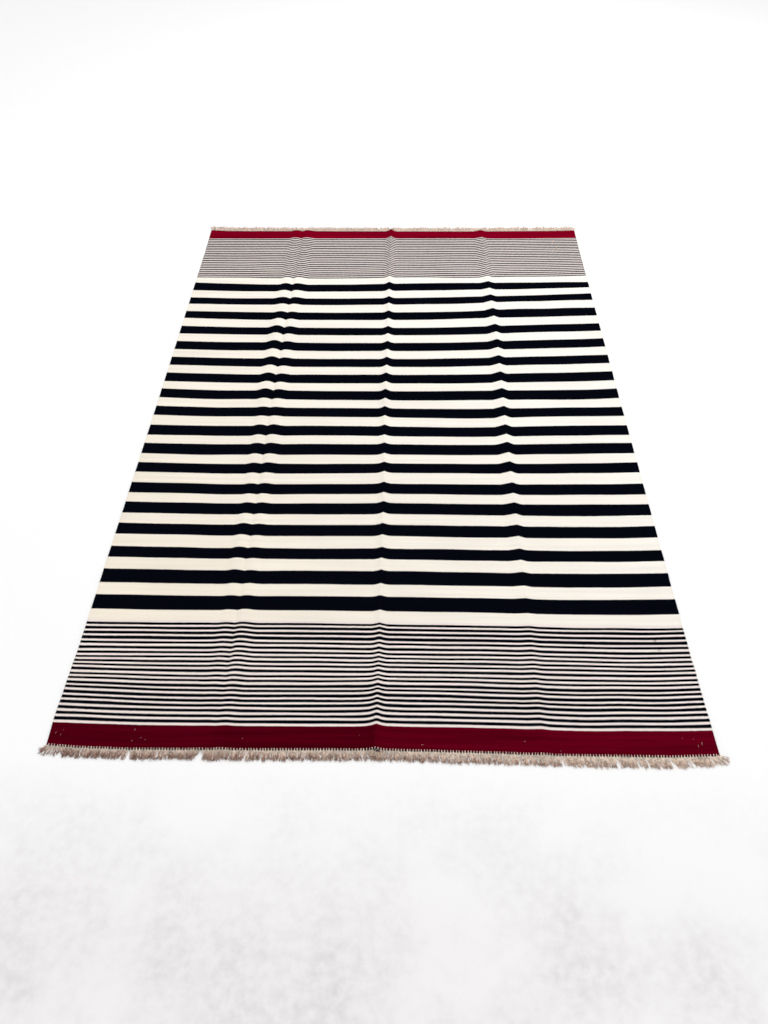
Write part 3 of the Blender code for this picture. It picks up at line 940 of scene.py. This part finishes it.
def lay_strands(name, shape, strands, finish):
    """Repeats the strand's shape along each path, and joins them all in one piece."""
    mesh = bmesh.new()
    for _ in strands:
        mesh.from_mesh(shape)
    piece = add_piece(name, mesh, finish)
    template = np.empty(len(shape.vertices) * 3)
    shape.vertices.foreach_get("co", template)
    template = template.reshape(-1, 3)
    share = template[:, 2]
    points, tints, ends = [], [], []
    for strand in strands:
        centre = strand.path(share)
        ahead = strand.path(share + 0.01) - strand.path(share - 0.01)
        ahead /= np.linalg.norm(ahead, axis=1)[:, None]
        beside = np.cross(ahead, (0.0, 0.0, 1.0))
        beside /= np.linalg.norm(beside, axis=1)[:, None]
        over = np.cross(beside, ahead)
        begins = np.clip(share * strand.length / START_TAPER, strand.start, 1.0)
        radius = (strand.radius * begins * (1 - (1 - strand.taper) * share ** 2))[:, None]
        points.append(centre + radius * (template[:, :1] * beside + template[:, 1:2] * over))
        tints.append(np.full(len(share), strand.tint))
        ends.append(strand.cut_end[0] + (strand.cut_end[1] - strand.cut_end[0]) * share)
    points = np.concatenate(points)
    points[:, 2] = np.maximum(points[:, 2], 0.0)
    data = piece.data
    data.vertices.foreach_set("co", points.ravel())
    # A strand is mirrored as it is laid, so its faces are turned outwards again
    data.flip_normals()
    for title, values in (("tint", tints), ("cut_end", ends)):
        attribute = data.attributes.new(title, "FLOAT", "POINT")
        attribute.data.foreach_set("value", np.concatenate(values))
    lengths = np.repeat([strand.length for strand in strands], len(shape.loops))
    flat = np.empty(len(data.loops) * 2)
    data.uv_layers["strand"].data.foreach_get("uv", flat)
    flat = flat.reshape(-1, 2)
    flat[:, 1] *= lengths
    data.uv_layers["strand"].data.foreach_set("uv", flat.ravel())
    data.update()
    return piece


def lock_lean(x, rows, partings):
    """A lock's direction at this place, turned away from any parting close by."""
    lean = read_off(rows, "lean", x)
    for parting in partings:
        away = x - parting.x
        lean += math.copysign(parting.turn, away) * math.exp(-abs(away) / PARTING_REACH)
    return lean


# A yarn's way from the cloth to the floor. The crimp's height and length and the curl are in
# millimetres, the lean in degrees, the opening is a share of the yarn's length, and the last
# three are in yarn radii: how high a yarn lies on the cloth, how high an upper yarn lies on the
# floor, and how deep a root sinks into the weave.
YARN_LEAN = 8
CRIMP = (0.6, 1.7)
CRIMP_LENGTH = (7, 13)
CRIMP_RISE = 0.25 * MM
CURL = 7
NECK_HALF = 0.6 * MM
BRUSH_HALF = 5.4 * MM
OPEN_BY = 0.35
BEND_OVER = 6 * MM
DROP_OVER = 11 * MM
ON_CLOTH = 0.35
UPPER_YARN = 1.5
ROOT_DEPTH = 1.2


def yarn_path(root, outwards, lean, length, overlap, place, rise, draw):
    """One yarn of a bundle, as a function of the share of its length. It starts on the red
    cloth, passes over the twined edge in a narrow neck, drops to the floor and fans out."""
    sizes = bpy.context.scene.kilim_fringe
    radius = sizes.yarn_radius
    turn = math.radians(lean + draw.uniform(-YARN_LEAN, YARN_LEAN))
    direction = np.array([math.sin(turn), outwards * math.cos(turn)])
    straight = np.array([0.0, float(outwards)])
    cloth_top = lift(root[0], root[1]) + CLOTH_THICKNESS
    edge_low = lift(root[0], root[1])
    level = draw.choice((0, 0, 1)) * UPPER_YARN * radius
    crimp = draw.uniform(*CRIMP) * MM
    crimp_length = draw.uniform(*CRIMP_LENGTH) * MM
    start = draw.uniform(0, 2 * math.pi)
    curl = draw.uniform(-CURL, CURL) * MM
    raised = draw.uniform(0.0, 1.0) ** 2 * rise
    total = overlap + length

    def path(share):
        run = share * total - overlap
        out = np.clip(run / length, -1, None)
        opened = np.clip(run / (OPEN_BY * length), 0, 1)
        bend = np.clip(run / BEND_OVER, 0, 1)
        half = NECK_HALF + (BRUSH_HALF - NECK_HALF) * opened
        sideways = place * half + crimp * opened * np.sin(
            2 * math.pi * run / crimp_length + start) + curl * np.clip(out, 0, 1) ** 2
        heading = direction * bend[:, None] + straight * (1 - bend[:, None])
        centre = np.array(root)[None, :2] + heading * run[:, None]
        centre[:, 0] += sideways * abs(direction[1])
        centre[:, 1] += sideways * -direction[0] * np.sign(direction[1])
        on_cloth = cloth_top + ON_CLOTH * radius
        drop = np.clip(run / DROP_OVER, 0, 1)
        drop = drop * drop * (3 - 2 * drop)
        low = radius + edge_low * np.clip(1 - 1.1 * out, 0, 1) * 0.9
        z = on_cloth * (1 - drop) + (low + level * (1 - 0.5 * out)) * drop
        dive = np.clip(-run / max(overlap, 1e-6), 0, 1)
        z = z - dive ** 3 * ROOT_DEPTH * radius
        z = z + CRIMP_RISE * np.sin(2 * math.pi * run / crimp_length + 1.7 * start) * drop
        z = z + raised * np.clip(out, 0, 1) ** 1.5
        return np.column_stack([centre, z])

    return path, total


# How far a hair's tip strays from its yarn's, in millimetres
HAIR_ASIDE = (-6, 6)
HAIR_ON = (-2.0, 2.5)
HAIR_UP = (-0.6, 0.5)


def fray_path(path, from_share, draw):
    """A hair that leaves a yarn's cut end."""
    aside = draw.uniform(*HAIR_ASIDE) * MM
    on = draw.uniform(*HAIR_ON) * MM
    up = draw.uniform(*HAIR_UP) * MM
    tip = path(np.array([0.97, 1.0]))
    ahead = tip[1] - tip[0]
    ahead /= np.linalg.norm(ahead)
    beside = np.array([-ahead[1], ahead[0], 0.0])

    def hair(share):
        base = path(from_share + (1.0 - from_share) * share)
        moved = share[:, None] ** 2
        return base + moved * (aside * beside + on * ahead + np.array([0, 0, up]))

    return hair


# The loop that ties a bundle: its size, the share of it that lies on the cloth, and how high
# its ends and its arch stand
TIE_RADIUS = 1.35 * MM
TIE_LENGTH = 4.0 * MM
TIE_ON_CLOTH = 0.72
TIE_LIFT = 0.9 * MM
TIE_ARCH = 0.6 * MM


def tie_path(root, outwards):
    """The pale loop of warp that closes a bundle's root, over the twined edge."""
    top = top_of(root[0], root[1], CLOTH_THICKNESS) + TIE_LIFT

    def path(share):
        run = (share - TIE_ON_CLOTH) * TIE_LENGTH
        rise = np.sin(math.pi * np.clip(share, 0, 1)) * TIE_ARCH
        return np.column_stack([np.full(len(share), root[0]), root[1] + outwards * run,
                                top + rise])

    return path


# A fringe's greyness halfway across, how much more of it there is per metre to the left, and how
# dark its cut tips are. The greyer left and the darker tips are painted shade, and the far
# fringe's paleness is partly painted light
Tint = namedtuple("Tint", "middle slope tip")
FRINGE_TINTS = {"near": Tint(0.44, 0.42, 0.53), "far": Tint(0.05, 0.0, 0.05)}
# How far the loosest yarns' ends spring up from the floor
FRINGE_RISE = {"near": 1.5 * MM, "far": 11.0 * MM}
TINT_CLUMP = 30 * MM

# The cut_end attribute is -1 at a yarn's root, 0 where it starts to open and up to 1 at its tip
AT_ROOT = -1.0
AT_OPENING = 0.0
HAIRS_PER_YARN = 2
# A bundle's outer yarns, in steps of its half width from the middle
OUTER_YARN = 1.4

# How bundles, ties, yarns and hairs differ among themselves: the least and the most of a random
# draw, in millimetres for the first and the last, in degrees for the lean, and else as shares
BUNDLE_ASIDE = (-0.8, 0.8)
BUNDLE_LEAN = (-5, 5)
BUNDLE_LENGTH = (-0.08, 0.06)
BUNDLE_TINT = (-0.2, 0.2)
CLUMP_TINT = 0.35
TIE_THICKNESS = (0.75, 1.15)
YARN_OVERLAP = (0.6, 1.25)
YARN_LENGTH = (0.74, 1.03)
YARN_TINT = (-0.42, 0.42)
YARN_THICKNESS = (0.8, 1.15)
HAIR_START = (0.35, 0.8)
HAIR_RADIUS = (0.26, 0.45)


def fringe_strands(end, rows, partings, seed):
    """Every yarn and hair of one end's fringe."""
    sizes = bpy.context.scene.kilim_fringe
    outwards = -1 if end == "near" else 1
    draw = random.Random(seed)
    yarns, hairs = [], []
    pitch = CLOTH_WIDTH / sizes.locks
    for number in range(sizes.locks):
        x = -CLOTH_WIDTH / 2 + (number + 0.5) * pitch
        root = (x + draw.uniform(*BUNDLE_ASIDE) * MM, end_line(x, end))
        lean = lock_lean(x, rows, partings) + draw.uniform(*BUNDLE_LEAN)
        length = (read_off(rows, "length", x) * MM * (1 + draw.uniform(*BUNDLE_LENGTH))
                  + STRIP_REACH)
        tint = (FRINGE_TINTS[end].middle - FRINGE_TINTS[end].slope * x
                + draw.uniform(*BUNDLE_TINT)
                + CLUMP_TINT * noise.noise(Vector((x / TINT_CLUMP, seed, 0.0))))
        # Painted shade: the cut tips are darker, more so to the left
        shaded_tip = FRINGE_TINTS[end].tip * (1 - x)
        yarns.append(Strand(
            tie_path(root, outwards), TIE_RADIUS * draw.uniform(*TIE_THICKNESS), taper=0.7,
            tint=0.0, cut_end=(AT_ROOT, AT_ROOT), length=TIE_LENGTH, start=0.6))
        for place in spread(-OUTER_YARN, OUTER_YARN, sizes.yarns + 1):
            overlap = sizes.root_overlap * (1 - 0.7 * abs(place)) * draw.uniform(*YARN_OVERLAP)
            path, total = yarn_path(root, outwards, lean, length * draw.uniform(*YARN_LENGTH),
                                    overlap, place, FRINGE_RISE[end], draw)
            shade = min(max(tint + draw.uniform(*YARN_TINT), 0), 1)
            yarns.append(Strand(
                path, sizes.yarn_radius * draw.uniform(*YARN_THICKNESS), taper=0.62, tint=shade,
                cut_end=(AT_ROOT, shaded_tip), length=total, start=0.45))
            for _ in range(HAIRS_PER_YARN):
                hairs.append(Strand(
                    fray_path(path, draw.uniform(*HAIR_START), draw),
                    draw.uniform(*HAIR_RADIUS) * MM, taper=0.35, tint=shade,
                    cut_end=(AT_OPENING, shaded_tip), length=0.4 * total, start=1.0))
    return yarns, hairs


# The twined edge's beads: half sizes, how far out of the cloth and over its top they lie, and
# their slant in radians. Between the bundles' roots their dark is partly the twined yarn and
# partly painted shade in the gaps
BEAD_WIDE = 2.5 * MM
BEAD_LONG = 1.9 * MM
BEAD_HIGH = 1.6 * MM
BEAD_OUT = 0.75 * MM
BEAD_LEVEL = -0.5 * MM
BEAD_SLANT = 0.35

# The dark yarns' knot on the near end of the middle crease: places in mm, from the crease
# line and from the cloth's end
Bead = namedtuple("Bead", "across out")
KNOT_LEVEL = 1.2 * MM
KNOT = [Bead(-5, 1), Bead(-2, 5), Bead(1, 2), Bead(3, 7), Bead(6, 4), Bead(9, 6)]


def twining_mesh(end):
    """The twined pair that closes the cloth: a dark bead between every two bundles."""
    sizes = bpy.context.scene.kilim_fringe
    outwards = -1 if end == "near" else 1
    pitch = CLOTH_WIDTH / sizes.locks
    draw = random.Random(21 if end == "near" else 22)
    mesh = bmesh.new()
    places = [(-CLOTH_WIDTH / 2 + number * pitch, BEAD_OUT, BEAD_LEVEL)
              for number in range(1, sizes.locks)]
    if end == "near":
        crease = read_off(MIDDLE_RIDGE, "line", -CLOTH_LENGTH / 2)
        places += [((crease + bead.across) * MM, bead.out * MM, KNOT_LEVEL) for bead in KNOT]
    for x, out, level in places:
        y = end_line(x, end) + outwards * out
        made = bmesh.ops.create_uvsphere(mesh, u_segments=8, v_segments=5, radius=1.0)["verts"]
        size = (BEAD_WIDE * draw.uniform(0.85, 1.1), BEAD_LONG * draw.uniform(0.8, 1.2), BEAD_HIGH)
        bmesh.ops.scale(mesh, verts=made, vec=size)
        turn = Euler((0.0, 0.0, outwards * BEAD_SLANT + draw.uniform(-0.2, 0.2))).to_matrix()
        bmesh.ops.rotate(mesh, verts=made, matrix=turn)
        z = lift(x, y) + CLOTH_THICKNESS + level
        bmesh.ops.translate(mesh, verts=made, vec=(x, y, z))
    for face in mesh.faces:
        face.smooth = True
    return mesh


class KILIM_OT_fringes(bpy.types.Operator):
    """Lays the two fringes, each of bundles of warp yarn with frayed ends"""

    bl_idname = "kilim.fringes"
    bl_label = "Lay the fringes"

    def execute(self, context):
        yarn_shape, hair_shape = strand_shape(sides=5, steps=8), strand_shape(sides=3, steps=4)
        finish = warp_yarn()
        for end, rows, partings, seed in (("near", NEAR_LOCKS, NEAR_PARTINGS, 3),
                                          ("far", FAR_LOCKS, FAR_PARTINGS, 8)):
            yarns, hairs = fringe_strands(end, rows, partings, seed)
            fringe = lay_strands(end + "_fringe_yarns", yarn_shape, yarns, finish)
            frayed = lay_strands(end + "_fringe_hairs", hair_shape, hairs, finish)
            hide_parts("fringe_" + end)
            for piece in (fringe, frayed):
                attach(piece, "root")
        return {"FINISHED"}


class KILIM_OT_twined_edges(bpy.types.Operator):
    """Twines the dark yarns that close each end of the cloth"""

    bl_idname = "kilim.twined_edges"
    bl_label = "Twine the ends"

    def execute(self, context):
        finish = twining_wool()
        for end in ("near", "far"):
            edge = add_piece(end + "_twined_edge", twining_mesh(end), finish)
            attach(edge, "root")
        return {"FINISHED"}


# How far a slub's middle stands over the cloth, and how thick a very short one is
SLUB_LIFT = 0.1 * MM
PALE_SLUB_RADIUS = 0.5 * MM
DARK_SLUB_RADIUS = 2.2 * MM
# The length, in millimetres, at which a slub is twice as thick
SLUB_DOUBLING = 20


class KILIM_OT_slubs(bpy.types.Operator):
    """Sets the pale and the dark slubs that stand in the weave"""

    bl_idname = "kilim.slubs"
    bl_label = "Set the slubs"

    def execute(self, context):
        shape = strand_shape(sides=5, steps=4)
        for name, table, thin, finish, slot in (
                ("pale_slubs", PALE_SLUBS, PALE_SLUB_RADIUS,
                 "undyed wool and goat hair, two-ply spun", "warp_yarn"),
                ("dark_slubs", DARK_SLUBS, DARK_SLUB_RADIUS, "navy wool, twined", "wool_weave")):
            strands = []
            for slub in table:
                turn = math.radians(slub.lean)
                way = np.array([math.sin(turn), math.cos(turn)]) * slub.length * MM
                start = np.array([slub.x, slub.y]) - 0.5 * way

                def path(share, start=start, way=way):
                    spot = start + way * np.asarray(share)[:, None]
                    top = [top_of(x, y, CLOTH_THICKNESS) + SLUB_LIFT for x, y in spot]
                    return np.column_stack([spot, top])

                radius = thin * (1 + slub.length / SLUB_DOUBLING)
                strands.append(Strand(
                    path, radius, taper=0.5, tint=0.25, cut_end=(AT_OPENING, AT_OPENING),
                    length=slub.length * MM, start=0.4))
            slubs = lay_strands(name, shape, strands, bpy.data.materials[finish])
            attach(slubs, "root")
        return {"FINISHED"}


# The camera as the photo gives it: its place in metres, its turn in degrees, its lens in mm
CAMERA_PLACE = (0.0422, -1.9697, 1.7610)
CAMERA_TURN = (40.973, 0.549, 1.108)
CAMERA_LENS = 27.04
CAMERA_SENSOR = 36.0
CAMERA_REACH = 200.0

# The floor, a hair under the rug, and the soft square window at the far right
FLOOR_HALF = 60.0
FLOOR_DROP = 0.2 * MM
WINDOW_SIZE = 2.4
WINDOW_PLACE = (1.3, 2.3, 2.5)
WINDOW_AIM = (0.1, 0.9, 0.0)


class KILIM_OT_stage(bpy.types.Operator):
    """Puts down the pale floor, and sets the light and the camera"""

    bl_idname = "kilim.stage"
    bl_label = "Set the stage"

    def execute(self, context):
        scene = context.scene
        stage = scene.kilim_stage
        mesh = bmesh.new()
        bmesh.ops.create_grid(mesh, x_segments=1, y_segments=1, size=FLOOR_HALF)
        bmesh.ops.translate(mesh, verts=mesh.verts[:], vec=(0.0, 0.0, -FLOOR_DROP))
        floor = add_piece("floor", mesh, screed())

        scene.world = bpy.data.worlds.new("even daylight")
        scene.world.use_nodes = True
        sky = scene.world.node_tree.nodes["Background"]
        sky.inputs["Color"].default_value = (1.0, 1.0, 1.0, 1.0)
        sky.inputs["Strength"].default_value = stage.daylight

        window = bpy.data.lights.new("window", "AREA")
        window.energy = stage.window
        window.size = WINDOW_SIZE
        light = bpy.data.objects.new("window", window)
        light.location = WINDOW_PLACE
        light.rotation_euler = (Vector(WINDOW_AIM) - Vector(WINDOW_PLACE)).to_track_quat(
            "-Z", "Y").to_euler()
        light.visible_camera = False
        scene.collection.objects.link(light)

        lens = bpy.data.cameras.new("camera")
        lens.lens = CAMERA_LENS
        lens.sensor_width = CAMERA_SENSOR
        lens.clip_end = CAMERA_REACH
        camera = bpy.data.objects.new("camera", lens)
        camera.location = CAMERA_PLACE
        camera.rotation_euler = [math.radians(angle) for angle in CAMERA_TURN]
        scene.collection.objects.link(camera)
        scene.camera = camera
        scene.view_settings.view_transform = "Standard"
        return {"FINISHED"}


class KILIM_PT_rug(bpy.types.Panel):
    """The rug's pieces, and the sizes and colours that they are made with"""

    bl_label = "Kilim rug"
    bl_idname = "KILIM_PT_rug"
    bl_space_type = "VIEW_3D"
    bl_region_type = "UI"
    bl_category = "Kilim"

    def draw(self, context):
        layout = self.layout
        for operator in OPERATORS:
            layout.operator(operator.bl_idname)
        for group in (context.scene.kilim_cloth, context.scene.kilim_fringe,
                      context.scene.kilim_stage):
            box = layout.box()
            for name in group.__annotations__:
                box.prop(group, name)


GROUPS = {"kilim_cloth": KilimCloth, "kilim_fringe": KilimFringe, "kilim_stage": KilimStage}
OPERATORS = (KILIM_OT_cloth, KILIM_OT_fringes, KILIM_OT_twined_edges, KILIM_OT_slubs,
             KILIM_OT_stage)


def register():
    for cls in (*GROUPS.values(), *OPERATORS, KILIM_PT_rug):
        bpy.utils.register_class(cls)
    for name, group in GROUPS.items():
        setattr(bpy.types.Scene, name, PointerProperty(type=group))


def unregister():
    for name in GROUPS:
        delattr(bpy.types.Scene, name)
    for cls in (KILIM_PT_rug, *reversed(OPERATORS), *reversed(GROUPS.values())):
        bpy.utils.unregister_class(cls)


def main():
    register()
    bpy.ops.kilim.cloth()
    bpy.ops.kilim.fringes()
    bpy.ops.kilim.twined_edges()
    bpy.ops.kilim.slubs()
    bpy.ops.kilim.stage()


if __name__ == "__main__":
    main()
